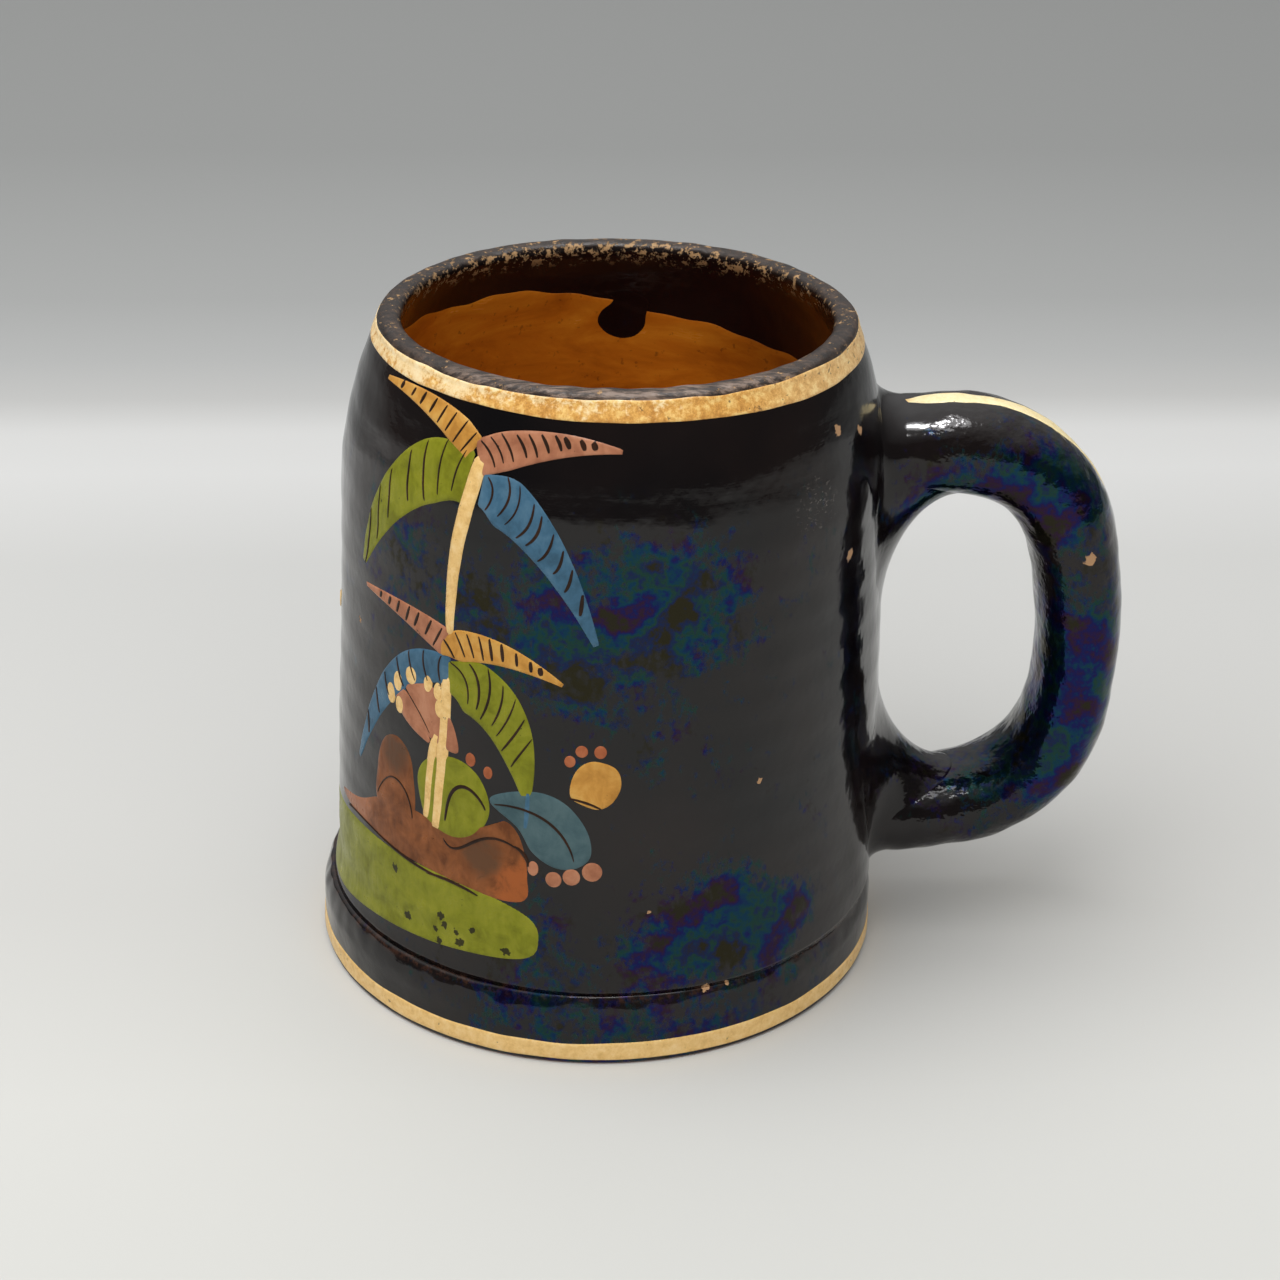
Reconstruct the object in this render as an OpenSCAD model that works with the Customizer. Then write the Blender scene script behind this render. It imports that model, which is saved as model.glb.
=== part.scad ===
// Straight-sided clay mug with a pulled ear handle: a wall luted on a foot disc, a handle luted to the wall,
// an amber glaze inside and cream slip lines on the rim, the foot and the handle. Millimetres, +Z up.
// The origin is the centre of the underside, and the handle points along +X.

/* [Wall] */
// Height of the whole mug
mug_h = 111; // [96:1:130]
// Outer radius of the wall where it stands on the foot
wall_foot_r = 45.5; // [40:0.5:52]
// How much narrower the straight wall is at the lip than at the foot
wall_taper = 2.4; // [0:0.2:5]
// Wall thickness
wall_t = 5.5; // [4:0.25:8]
// Height of the shoulder that curves in below the lip
shoulder_h = 28; // [20:1:36]
// How far the shoulder draws the lip in
shoulder_in = 5.9; // [2:0.1:8]
// Thickness of the rounded lip
lip_t = 4; // [3:0.25:6]
// Height of the cove inside, where the wall meets the floor
cove_h = 8; // [4:0.5:14]
// How far that cove reaches over the floor
cove_in = 5; // [2:0.5:10]

/* [Foot] */
// Height of the foot disc, which is also the cup's floor
foot_h = 12; // [8:0.5:16]
// How far the foot stands out past the wall
foot_ledge = 1.4; // [0.8:0.1:4]
// Height of the foot's rounded upper edge
foot_round = 4.4; // [1:0.1:6]
// Rounding of the foot's lower edge
foot_edge = 0.7; // [0.3:0.1:1.5]

/* [Handle] */
// Reach of the handle, from the foot of the wall to its outer face
handle_reach = 40; // [34:0.5:50]
// Depth of the upper root's centre below the lip
handle_drop = 24.75; // [22:0.25:30]
// Height of the lower root's centre above the foot
handle_low = 9.2; // [9:0.1:14]
// How far the widest place lies below the middle of the two roots
handle_belly = 3; // [0:0.5:6]
// Width of the handle, across the hand
handle_w = 20; // [14:0.5:24]
// Thickness of the upper arm
upper_arm_t = 15.4; // [11:0.1:18]
// Thickness of the outer side
side_t = 12.9; // [9:0.1:16]
// Thickness of the lower arm
lower_arm_t = 14.2; // [10:0.1:16]
// Angle at which the upper arm climbs from the wall
upper_arm_rise = 12; // [0:1:15]
// Angle at which the lower arm climbs back to the wall
lower_arm_rise = 3.5; // [0:0.5:8]
// Squareness of the upper arm's bend
upper_arm_full = 0.79; // [0.6:0.01:0.9]
// Squareness of the upper side's bend
upper_side_full = 0.76; // [0.6:0.01:0.9]
// Squareness of the lower side's bend
lower_side_full = 0.81; // [0.6:0.01:0.9]
// Squareness of the lower arm's bend
lower_arm_full = 0.75; // [0.6:0.01:0.9]
// Flatness of the cross-section: 1 is an ellipse, lower is squarer
section_power = 0.9; // [0.7:0.05:1]

/* [Luting joints] */
// Film of joining slip between two pieces
slip_t = 0.1; // [0.05:0.01:0.2]
// How far the clay of a joint runs out along the handle
joint_len = 10; // [7:0.5:13]
// Flare of the upper joint on the finger side
upper_joint_inner = 16; // [4:0.5:18]
// Flare of the upper joint on top
upper_joint_outer = 4; // [2:0.5:6]
// Flare of the lower joint on the finger side
lower_joint_inner = 14; // [3:0.5:16]
// Flare of the lower joint underneath
lower_joint_outer = 1.5; // [0.5:0.25:2]
// Flare of both joints at the sides
joint_side = 3; // [1.5:0.25:4]
// Thickness of a joint's edge on the handle
joint_edge = 0.6; // [0.4:0.1:1]

/* [Glaze and slip] */
// Thickness of the glaze lining
glaze_t = 0.5; // [0.3:0.1:1]
// Depth below the lip at which the lining ends
glaze_top = 5; // [4:0.5:12]
// Thickness of the cream slip lines
line_t = 0.4; // [0.2:0.05:0.8]
// Height of the line round the rim, below the lip
rim_line_h = 2.4; // [1:0.2:7]
// Angle by which that line turns over the lip
rim_line_turn = 35; // [10:5:60]
// Height of the line round the foot
foot_line_h = 3.4; // [2:0.2:5]
// Height of the foot line's lower edge above the table
foot_line_z = 0.7; // [0.6:0.1:1.5]
// Width of the line along the handle
handle_line_w = 5; // [3:0.25:6]
// Share of the handle's length at which its line ends
handle_line_end = 0.8; // [0.5:0.01:0.85]

/* [Hidden] */

black_glaze = [0.10, 0.08, 0.08];
amber_glaze = [0.55, 0.27, 0.06];
cream_slip = [0.90, 0.74, 0.48];

turn_steps = 128;
curve_steps = 16;
ring_steps = 64;
section_steps = 20;
// Share by which the handle's rings crowd together towards its two roots
ring_crowding = 0.5;

foot_r = wall_foot_r + foot_ledge;
shoulder_z = mug_h - shoulder_h;
lip_z = mug_h - lip_t / 2;
wall_z = foot_h + slip_t;

upper_root_z = mug_h - handle_drop;
lower_root_z = foot_h + handle_low;
belly_z = (upper_root_z + lower_root_z) / 2 - handle_belly;
belly_x = wall_foot_r + handle_reach - side_t / 2;
root_half_w = handle_w / 2 + joint_side + joint_edge;
// The roots start this deep in the wall, so that they are cut to its curve over their whole width
root_depth = 1;
root_x = sqrt(pow(wall_r(upper_root_z), 2) - pow(root_half_w, 2)) - root_depth;

// Wall

// Outer radius at height z: a straight taper, less a parabola over the shoulder
function wall_r(z) =
    wall_foot_r - wall_taper * (z - foot_h) / (mug_h - foot_h)
    - shoulder_in * pow(max(0, (z - shoulder_z) / shoulder_h), 2);

// A smooth step from 0 to 1
function ease(u) = let (v = min(1, max(0, u))) v * v * (3 - 2 * v);

// Inner radius at height z: the wall thins to the lip and thickens in a cove over the floor
function inner_r(z) =
    wall_r(z) - lip_t - (wall_t - lip_t) * ease((lip_z - z) / (lip_z - shoulder_z))
    - cove_in * pow(max(0, 1 - (z - foot_h) / cove_h), 2);

// Evenly spaced heights from a to b
function heights(a, b) = [for (i = [0 : curve_steps]) a + (b - a) * i / curve_steps];

// Heights up the inside, closer together over the cove
function inner_heights(top) = concat(
    [for (i = [0 : curve_steps - 1]) wall_z + cove_h * i / curve_steps],
    heights(wall_z + cove_h, top));

function outer_points(a, b, grow) = [for (z = heights(a, b)) [wall_r(z) + grow, z]];

function reversed(list) = [for (i = [len(list) - 1 : -1 : 0]) list[i]];

// Points over the lip as far as an angle (180 is its inner side), pushed out by grow
function lip_points(turn, grow) = [for (i = [1 : curve_steps])
    let (a = turn * i / curve_steps, c = wall_r(lip_z) - lip_t / 2, r = lip_t / 2 + grow)
    [c + r * cos(a), lip_z + r * sin(a)]];

module turned(points) rotate_extrude($fn = turn_steps) polygon(points);

module wall()
    color(black_glaze)
    turned(concat(
        outer_points(wall_z, shoulder_z, 0),
        outer_points(shoulder_z + shoulder_h / curve_steps, lip_z, 0),
        lip_points(180, 0),
        [for (z = reversed(inner_heights(lip_z))) if (z < lip_z) [inner_r(z), z]]));

// Foot

// Outline of the foot from the table up to the wall, pushed out by grow
function foot_points(grow) = concat(
    [for (i = [0 : curve_steps / 2]) let (a = 90 * i / (curve_steps / 2))
        [foot_r + grow - foot_edge * (1 - sin(a)), foot_edge * (1 - cos(a))]],
    [for (i = [0 : curve_steps / 2]) let (a = 90 * i / (curve_steps / 2))
        [foot_r + grow - foot_ledge * (1 - cos(a)), foot_h - foot_round * (1 - sin(a))]]);

module foot_disc()
    color(black_glaze)
    turned(concat([[0, 0]], foot_points(0), [[0, foot_h]]));

// The foot and the wall as one solid, larger by the film of slip: what the handle is cut to
module mug_outside()
    turned(concat(
        [[0, 0]],
        foot_points(slip_t),
        outer_points(wall_z + slip_t, shoulder_z, slip_t),
        outer_points(shoulder_z + shoulder_h / curve_steps, mug_h, slip_t),
        [[0, mug_h]]));

// Handle

// Point of a cubic curve at u
function bezier(p, u) =
    pow(1 - u, 3) * p[0] + 3 * pow(1 - u, 2) * u * p[1] + 3 * (1 - u) * u * u * p[2] + pow(u, 3) * p[3];

// Direction of a cubic curve at u
function bezier_slope(p, u) =
    pow(1 - u, 2) * (p[1] - p[0]) + 2 * (1 - u) * u * (p[2] - p[1]) + u * u * (p[3] - p[2]);

arm_x = belly_x - root_x;
upper_curve = [
    [root_x, upper_root_z],
    [root_x + upper_arm_full * arm_x, upper_root_z + upper_arm_full * arm_x * tan(upper_arm_rise)],
    [belly_x, belly_z + upper_side_full * (upper_root_z - belly_z)],
    [belly_x, belly_z]];
lower_curve = [
    [belly_x, belly_z],
    [belly_x, belly_z - lower_side_full * (belly_z - lower_root_z)],
    [root_x + lower_arm_full * arm_x, lower_root_z - lower_arm_full * arm_x * tan(lower_arm_rise)],
    [root_x, lower_root_z]];

// Place of ring i on the path: 0 at the upper root, 1 at the belly, 2 at the lower root
function ring_place(i) = let (u = i / ring_steps) 2 * u - ring_crowding / PI * sin(360 * u);

function ring_centre(i) = let (t = ring_place(i))
    t < 1 ? bezier(upper_curve, t) : bezier(lower_curve, t - 1);

// Unit vector across the path, towards the outer side of the handle
function ring_normal(i) = let (
    t = ring_place(i),
    d = t < 1 ? bezier_slope(upper_curve, t) : bezier_slope(lower_curve, t - 1))
    [-d[1], d[0]] / norm(d);

function ring_thickness(i) = let (t = ring_place(i))
    t < 1 ? upper_arm_t + (side_t - upper_arm_t) * ease(2 * t - 1)
          : side_t + (lower_arm_t - side_t) * ease(t - 1);

function signed_power(v, p) = sign(v) * pow(abs(v), p);

// Point of ring i at angle a (90 is the outer side), with the section pushed out by grow
function ring_point(i, a, grow) = let (
    c = ring_centre(i),
    n = ring_normal(i),
    up = (ring_thickness(i) / 2 + grow) * signed_power(sin(a), section_power),
    across = (handle_w / 2 + grow) * signed_power(cos(a), section_power))
    [c[0] + n[0] * up, across, c[1] + n[1] * up];

function section_angle(j) = 360 * j / section_steps;

function ring(i, grow) = [for (j = [0 : section_steps - 1]) ring_point(i, section_angle(j), grow)];

// Triangles between rows of points, each row a closed loop of m points
function side_faces(rows, m) = [for (i = [0 : rows - 2]) for (j = [0 : m - 1])
    let (a = i * m + j, b = i * m + (j + 1) % m)
    each [[a, a + m, b], [b, a + m, b + m]]];

// Triangles of a fan over one closed loop of m points
function fan(start, m) = [for (j = [1 : m - 2]) [start, start + j, start + j + 1]];

function turned_over(faces) = [for (f = faces) reversed(f)];

module handle()
    color(black_glaze)
    difference() {
        polyhedron(
            [for (i = [0 : ring_steps]) each ring(i, 0)],
            concat(
                side_faces(ring_steps + 1, section_steps),
                fan(0, section_steps),
                turned_over(fan(ring_steps * section_steps, section_steps))));
        mug_outside();
    }

// Luting joints: a collar of soft clay smoothed into the corner between the wall and each end of the handle

// Ring j of a joint, counted from the wall, as a ring of the handle
function joint_ring(upper, j) = upper ? j : ring_steps - j;

// How far a point lies in front of the wall
function clear_of_wall(p) = norm([p[0], p[1]]) - wall_r(p[2]);

function joint_rings(upper) = len([for (j = [0 : ring_steps / 3])
    let (c = ring_centre(joint_ring(upper, j)))
    if (clear_of_wall([c[0], 0, c[1]]) < joint_len) j]);

// Flare at angle a: its own amount on the finger side and on the outer side, joint_side between them
function flare(a, inner, outer) = let (s = sin(a))
    joint_side + (s < 0 ? inner - joint_side : outer - joint_side) * s * s;

// Share of the flare left at a point, falling as a parabola from the wall to joint_len
function flare_left(p) = pow(1 - max(0, min(1, clear_of_wall(p) / joint_len)), 2);

// Point of a joint at ring i and angle a: the section with its edge, flared along the wall
function joint_point(i, a, inner, outer) = let (
    p = ring_point(i, a, slip_t + joint_edge),
    up = sign(ring_normal(i)[1]) * signed_power(sin(a), section_power),
    across = signed_power(cos(a), section_power))
    p + flare(a, inner, outer) * flare_left(p) * [0, across, up];

function joint_row(i, inner, outer) =
    [for (j = [0 : section_steps - 1]) joint_point(i, section_angle(j), inner, outer)];

module luting_joint(upper, inner, outer) {
    rows = joint_rings(upper);
    m = section_steps;
    skin = side_faces(rows, m);
    lining = turned_over(skin) + [for (f = skin) [1, 1, 1] * rows * m];
    ends = [for (r = [0, rows - 1]) for (j = [0 : m - 1])
        let (a = r * m + j, b = r * m + (j + 1) % m, c = rows * m)
        each r == 0 ? [[a, b, a + c], [b, b + c, a + c]] : [[a, a + c, b], [b, a + c, b + c]]];
    faces = concat(skin, lining, ends);
    difference() {
        polyhedron(
            concat(
                [for (j = [0 : rows - 1]) each joint_row(joint_ring(upper, j), inner, outer)],
                [for (j = [0 : rows - 1]) each ring(joint_ring(upper, j), slip_t)]),
            upper ? faces : turned_over(faces));
        mug_outside();
    }
}

module handle_upper_joint()
    color(black_glaze) luting_joint(true, upper_joint_inner, upper_joint_outer);

module handle_lower_joint()
    color(black_glaze) luting_joint(false, lower_joint_inner, lower_joint_outer);

// Glaze and slip

module inner_glaze()
    color(amber_glaze)
    turned(concat(
        [[0, wall_z]],
        [for (z = inner_heights(mug_h - glaze_top)) [inner_r(z) - slip_t, z]],
        [for (z = reversed(inner_heights(mug_h - glaze_top))) if (z > wall_z + glaze_t)
            [inner_r(z) - slip_t - glaze_t, z]],
        [[inner_r(wall_z + glaze_t) - slip_t - glaze_t, wall_z + glaze_t]],
        [[0, wall_z + glaze_t]]));

// Outline of the rim from the line's lower edge to its upper edge on the lip, pushed out by grow
function rim_line_points(grow) =
    concat(outer_points(lip_z - rim_line_h, lip_z, grow), lip_points(rim_line_turn, grow));

module rim_slip_line()
    color(cream_slip)
    turned(concat(rim_line_points(slip_t), reversed(rim_line_points(slip_t + line_t))));

module foot_slip_line()
    color(cream_slip)
    translate([0, 0, foot_line_z])
    difference() {
        cylinder(h = foot_line_h, r = foot_r + slip_t + line_t, $fn = turn_steps);
        translate([0, 0, -foot_line_h])
            cylinder(h = 3 * foot_line_h, r = foot_r + slip_t, $fn = turn_steps);
    }

// Row of the handle's line at ring i: three points on the outer facets, then three above them
function line_row(i) =
    let (
        n = ring_normal(i),
        crest = ring_point(i, 90, 0),
        left = ring_point(i, section_angle(section_steps / 4 + 1), 0),
        right = ring_point(i, section_angle(section_steps / 4 - 1), 0),
        share = handle_line_w / 2 / norm(crest - right),
        low = [crest + (right - crest) * share, crest, crest + (left - crest) * share])
    concat(
        [for (p = low) p + [n[0], 0, n[1]] * slip_t],
        [for (p = reversed(low)) p + [n[0], 0, n[1]] * (slip_t + line_t)]);

module handle_slip_line() {
    first = joint_rings(true);
    last = round(ring_steps * handle_line_end);
    rows = [for (i = [first : last]) line_row(i)];
    m = len(rows[0]);
    color(cream_slip)
    polyhedron(
        [for (row = rows) each row],
        concat(
            turned_over(side_faces(len(rows), m)),
            turned_over(fan(0, m)),
            fan((len(rows) - 1) * m, m)));
}

foot_disc();
wall();
handle();
handle_upper_joint();
handle_lower_joint();
inner_glaze();
rim_slip_line();
foot_slip_line();
handle_slip_line();
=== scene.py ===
import bpy
import numpy as np
from mathutils import Matrix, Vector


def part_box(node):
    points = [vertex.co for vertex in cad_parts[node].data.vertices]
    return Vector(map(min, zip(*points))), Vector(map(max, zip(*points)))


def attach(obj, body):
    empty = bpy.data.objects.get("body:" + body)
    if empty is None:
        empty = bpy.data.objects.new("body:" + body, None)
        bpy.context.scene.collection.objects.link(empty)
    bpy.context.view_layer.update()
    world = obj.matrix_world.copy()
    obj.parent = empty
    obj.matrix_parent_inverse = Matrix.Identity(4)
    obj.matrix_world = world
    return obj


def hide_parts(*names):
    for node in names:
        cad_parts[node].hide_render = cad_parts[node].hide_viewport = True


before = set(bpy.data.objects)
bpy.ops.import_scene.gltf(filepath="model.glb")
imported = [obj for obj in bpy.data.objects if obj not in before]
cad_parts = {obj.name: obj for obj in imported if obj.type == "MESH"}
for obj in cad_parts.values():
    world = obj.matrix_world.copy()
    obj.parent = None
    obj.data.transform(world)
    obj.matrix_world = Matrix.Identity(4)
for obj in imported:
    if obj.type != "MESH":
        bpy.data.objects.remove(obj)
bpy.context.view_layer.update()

# Foot disc
# A slab of red clay under the cup, a little off centre, dipped in the black glaze but wiped bare underneath.
# The wall is luted on it, and the glaze has pooled in the step between them.
MM = 0.001  # sizes are in millimetres, meshes and materials in metres
mug_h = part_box("wall")[1].z / MM
foot_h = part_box("foot_disc")[1].z / MM
foot_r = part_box("foot_disc")[1].y / MM
wall_foot_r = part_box("wall")[1].y / MM
foot_edge = 0.7
foot_shift = 1.2
slope_z = 7.4
slope_power = 2.2
seam_ledge = 0.45
turn_columns = 360
angles = np.linspace(0, 2 * np.pi, turn_columns, endpoint=False)


def unevenness(points, wavelength, seed):
    """Soft lumps of hand-made clay, about -1 to 1: 24 sine waves of one length in seeded directions."""
    waves = np.random.default_rng(seed)
    directions = waves.normal(size=(3, 24))
    directions /= np.linalg.norm(directions, axis=0)
    phases = waves.uniform(0, 2 * np.pi, 24)
    return np.sin(points @ directions * (2 * np.pi / wavelength) + phases).sum(-1) / 6


def ease(u):
    """A smooth step from 0 to 1."""
    v = np.clip(u, 0, 1)
    return v * v * (3 - 2 * v)


def joined(*axes):
    """Points from their coordinates, each a value or a grid."""
    return np.stack(np.broadcast_arrays(*axes), -1)


def unit(vectors):
    """Vectors of length 1."""
    return vectors / np.linalg.norm(vectors, axis=-1, keepdims=True)


def signed_power(value, power):
    """A power of the size of a value, with the value's sign."""
    return np.sign(value) * np.abs(value) ** power


def grid_faces(rows, columns, round_rows=False):
    """Quads between the neighbours of a grid whose columns go round, and with round_rows its rows too."""
    row = np.arange(rows if round_rows else rows - 1)[:, None]
    column = np.arange(columns)[None, :]
    beside, above = (column + 1) % columns, (row + 1) % rows
    corners = [(row, column), (row, beside), (above, beside), (above, column)]
    return joined(*(across * columns + along for across, along in corners)).reshape(-1, 4).tolist()


def capped_faces(rows, columns):
    """A tube of rows, each a closed loop, with a flat cap over its first and its last loop."""
    first = list(range(columns))[::-1]
    last = list(range((rows - 1) * columns, rows * columns))
    return grid_faces(rows, columns) + [first, last]


def add_piece(name, points, faces, material, slot, *nodes):
    """One mesh of points in millimetres, smooth, riding on the mug and standing for its nodes."""
    mesh = bpy.data.meshes.new(name)
    mesh.from_pydata((np.asarray(points).reshape(-1, 3) * MM).tolist(), [], faces)
    mesh.materials.append(material)
    mesh.shade_smooth()
    piece = bpy.data.objects.new(name, mesh)
    bpy.context.scene.collection.objects.link(piece)
    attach(piece, "root")
    if nodes:
        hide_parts(*nodes)


def add_node(tree, kind, inputs, **settings):
    """A shader node with its settings. Each input is given a value or fed by a field."""
    node = tree.nodes.new(kind)
    for key, value in settings.items():
        setattr(node, key, value)
    for key, value in inputs.items():
        if isinstance(value, Field):
            value.feed(node.inputs[key])
        else:
            node.inputs[key].default_value = value
    return node


def opaque(colour):
    """A colour with its alpha. A single number is a grey, and a field stays as it is."""
    if isinstance(colour, Field):
        return colour
    return (*(colour if isinstance(colour, tuple) else (colour,) * 3), 1)


class Field:
    """A value, a place or a colour that varies over a surface: one socket of a shader tree.

    What is worked out from it is a new field, made by a node of the same tree."""

    def __init__(self, socket):
        self.socket, self.tree = socket, socket.id_data

    def feed(self, socket):
        """Links this field to the input of a node."""
        self.tree.links.new(self.socket, socket)

    def through(self, kind, inputs, output, **settings):
        """Field from one output of a new node."""
        return Field(add_node(self.tree, kind, inputs, **settings).outputs[output])

    def math(self, operation, *others):
        """Result of one operation on this value and others."""
        return self.through("ShaderNodeMath", dict(enumerate((self, *others))), 0, operation=operation)

    def __add__(self, other):
        """Sum of two values."""
        return self.math("ADD", other)

    def __sub__(self, other):
        """Difference of two values."""
        return self.math("SUBTRACT", other)

    def __mul__(self, other):
        """Product of two values."""
        return self.math("MULTIPLY", other)

    def __abs__(self):
        """This value without its sign."""
        return self.math("ABSOLUTE")

    def most(self, other):
        """The greater of two values."""
        return self.math("MAXIMUM", other)

    def span(self, low, high):
        """0 at low, 1 at high and beyond, smooth between them; low may be the greater."""
        inputs = {"Value": self, "From Min": low, "From Max": high}
        return self.through("ShaderNodeMapRange", inputs, "Result", interpolation_type="SMOOTHSTEP")

    def ramp(self, *stops):
        """Colour ramp over this value, from (place, colour) stops."""
        node = add_node(self.tree, "ShaderNodeValToRGB", {"Fac": self})
        while len(node.color_ramp.elements) < len(stops):
            node.color_ramp.elements.new(0.5)
        for element, (place, colour) in zip(node.color_ramp.elements, stops):
            element.position = place
            element.color = opaque(colour)
        return Field(node.outputs["Color"])

    def mix(self, a, b):
        """Colour a turned into colour b by this share."""
        return self.through("ShaderNodeMix", {0: self, 6: opaque(a), 7: opaque(b)}, 2, data_type="RGBA")

    def noise(self, scale, detail=2.0, roughness=0.5, distortion=0.0):
        """Cloudy noise over this place, scale per metre."""
        inputs = {"Scale": scale, "Detail": detail, "Roughness": roughness, "Distortion": distortion}
        return self.through("ShaderNodeTexNoise", {"Vector": self, **inputs}, "Fac")

    def gap(self, centre):
        """Distance of this place from a centre, in metres."""
        inputs = {0: self, 1: tuple(centre)}
        return self.through("ShaderNodeVectorMath", inputs, "Value", operation="DISTANCE")

    def stretched(self, *scale):
        """This place scaled by its own amount along each axis."""
        return self.through("ShaderNodeMapping", {"Vector": self, "Scale": scale}, "Vector")

    def parts(self, kind="ShaderNodeSeparateXYZ"):
        """The three coordinates of this place, or the three shares of this colour."""
        return [Field(output) for output in add_node(self.tree, kind, {0: self}).outputs]

    def group(self, group, **inputs):
        """The outputs of a shared group at this place."""
        node = add_node(self.tree, "ShaderNodeGroup", {"Place": self, **inputs}, node_tree=group)
        return [Field(output) for output in node.outputs]


def add_sockets(tree, way, labels):
    """Named sockets of a group: Place is a vector, Color a colour and any other a value."""
    kinds = {"Place": "NodeSocketVector", "Color": "NodeSocketColor"}
    for label in labels:
        tree.interface.new_socket(label, in_out=way, socket_type=kinds.get(label, "NodeSocketFloat"))


def new_group(name, *inputs):
    """An empty shader group. Returns its tree and a field for each input."""
    tree = bpy.data.node_groups.new(name, "ShaderNodeTree")
    add_sockets(tree, "INPUT", inputs)
    given = tree.nodes.new("NodeGroupInput")
    return tree, *(Field(given.outputs[label]) for label in inputs)


def end_group(tree, **outputs):
    """The group, with its outputs fed by fields."""
    add_sockets(tree, "OUTPUT", outputs)
    made = tree.nodes.new("NodeGroupOutput")
    for label, field in outputs.items():
        field.feed(made.inputs[label])
    return tree


def chip_group():
    """Pits and chips in the glaze: a few cells of a random pattern, each with a ragged round spot in it."""
    tree, place, scale, share = new_group("glaze_chips", "Place", "Scale", "Share")
    cells = add_node(tree, "ShaderNodeTexVoronoi", {"Vector": place, "Scale": scale}).outputs
    choice, size = Field(cells["Color"]).parts("ShaderNodeSeparateColor")[:2]
    edge = place.noise(2200) * 0.20 + Field(cells["Distance"])
    spot = (size * 0.11 + 0.03 - (edge - 0.10)).span(0.0, 0.03)
    return end_group(tree, Mask=spot * choice.math("LESS_THAN", share))


def lustre_group():
    """The bloom of an old lead glaze below the rim: ragged clouds in violet, blue, teal and olive.

    A patch is (centre, reach, amount, turn): the clouds are thicker there by amount, and their hue turns."""
    tree, place = new_group("lustre", "Place")
    total = place.stretched(1, 1, 0.6).noise(800, 3, 0.65) * 0.6 + place.noise(110, 8, 0.75, 0.2)
    hue = place.noise(700, 4, 0.7) * 0.30 + place.noise(95, 3, 0.55, 0.1)
    patches = [
        ((0.002, -0.0445, 0.074), 0.028, 0.29, 0.05),
        ((0.010, -0.0430, 0.082), 0.017, 0.17, 0.03),
        ((0.0155, -0.042, 0.0245), 0.013, 0.42, -0.01),
        ((0.0255, -0.0365, 0.021), 0.012, 0.30, 0.02),
        ((0.006, -0.0445, 0.021), 0.011, 0.16, 0.02),
        ((0.081, -0.010, 0.046), 0.036, 0.42, 0.0),
        ((0.072, -0.012, 0.083), 0.020, 0.34, -0.10),
        ((0.064, -0.013, 0.030), 0.022, 0.14, 0.0),
        ((0.057, -0.012, 0.079), 0.016, 0.40, 0.0),
        ((-0.008, -0.046, 0.006), 0.034, 0.20, 0.0),
        ((0.022, -0.040, 0.006), 0.030, 0.16, 0.0),
        ((-0.021, -0.038, 0.074), 0.022, 0.22, 0.0),
        ((-0.038, -0.025, 0.080), 0.022, 0.16, 0.0),
        ((0.010, 0.044, 0.060), 0.034, 0.30, 0.0)]
    for centre, reach, amount, turn in patches:
        near = place.gap(centre).span(reach, 0.0)
        total = near * amount + total
        hue = near * turn + hue
    below_rim = place.parts()[2].span(0.099, 0.091) * 0.88
    colour = hue.ramp(
        (0.50, (0.028, 0.025, 0.014)),
        (0.55, (0.034, 0.013, 0.042)),
        (0.60, (0.009, 0.013, 0.105)),
        (0.65, (0.006, 0.046, 0.086)),
        (0.69, (0.016, 0.056, 0.034)),
        (0.74, (0.012, 0.024, 0.090)),
        (0.80, (0.028, 0.025, 0.012)))
    return end_group(tree, Color=colour, Mask=total.span(0.88, 1.08) * below_rim)


def relief_group():
    """The skin of a thick glaze: soft lumps, orange peel and level lines from turning, in metres."""
    tree, place = new_group("glaze_skin", "Place")
    fine = place.noise(700) + place.stretched(1, 1, 9).noise(70, 3, 0.55)
    return end_group(tree, Height=place.noise(190) * 0.00016 + fine * 0.00003)


def new_material(name):
    """An empty material with one Principled shader; returns it, the shader and the Object coordinates."""
    material = bpy.data.materials.new(name)
    material.use_nodes = True
    tree = material.node_tree
    tree.nodes.clear()
    shader = tree.nodes.new("ShaderNodeBsdfPrincipled")
    output = tree.nodes.new("ShaderNodeOutputMaterial")
    tree.links.new(shader.outputs["BSDF"], output.inputs["Surface"])
    return material, shader, Field(tree.nodes.new("ShaderNodeTexCoord").outputs["Object"])


def dress(shader, colour, rough, height, distance, strength):
    """Feeds a shader's colour, its roughness and the bump of a height."""
    inputs = {"Height": height, "Distance": distance, "Strength": strength}
    colour.feed(shader.inputs["Base Color"])
    rough.feed(shader.inputs["Roughness"])
    height.through("ShaderNodeBump", inputs, "Normal").feed(shader.inputs["Normal"])


def spots(place, sizes):
    """A mask of ragged spots at chosen places, each (centre, reach) in millimetres."""
    ragged = (place.noise(1500) - 0.5) * 0.0016
    mask = 0.0
    for centre, reach in sizes:
        gap = place.gap(np.array(centre) * MM) + ragged
        mask = gap.span(reach * MM, 0.8 * reach * MM).most(mask)
    return mask


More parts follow.
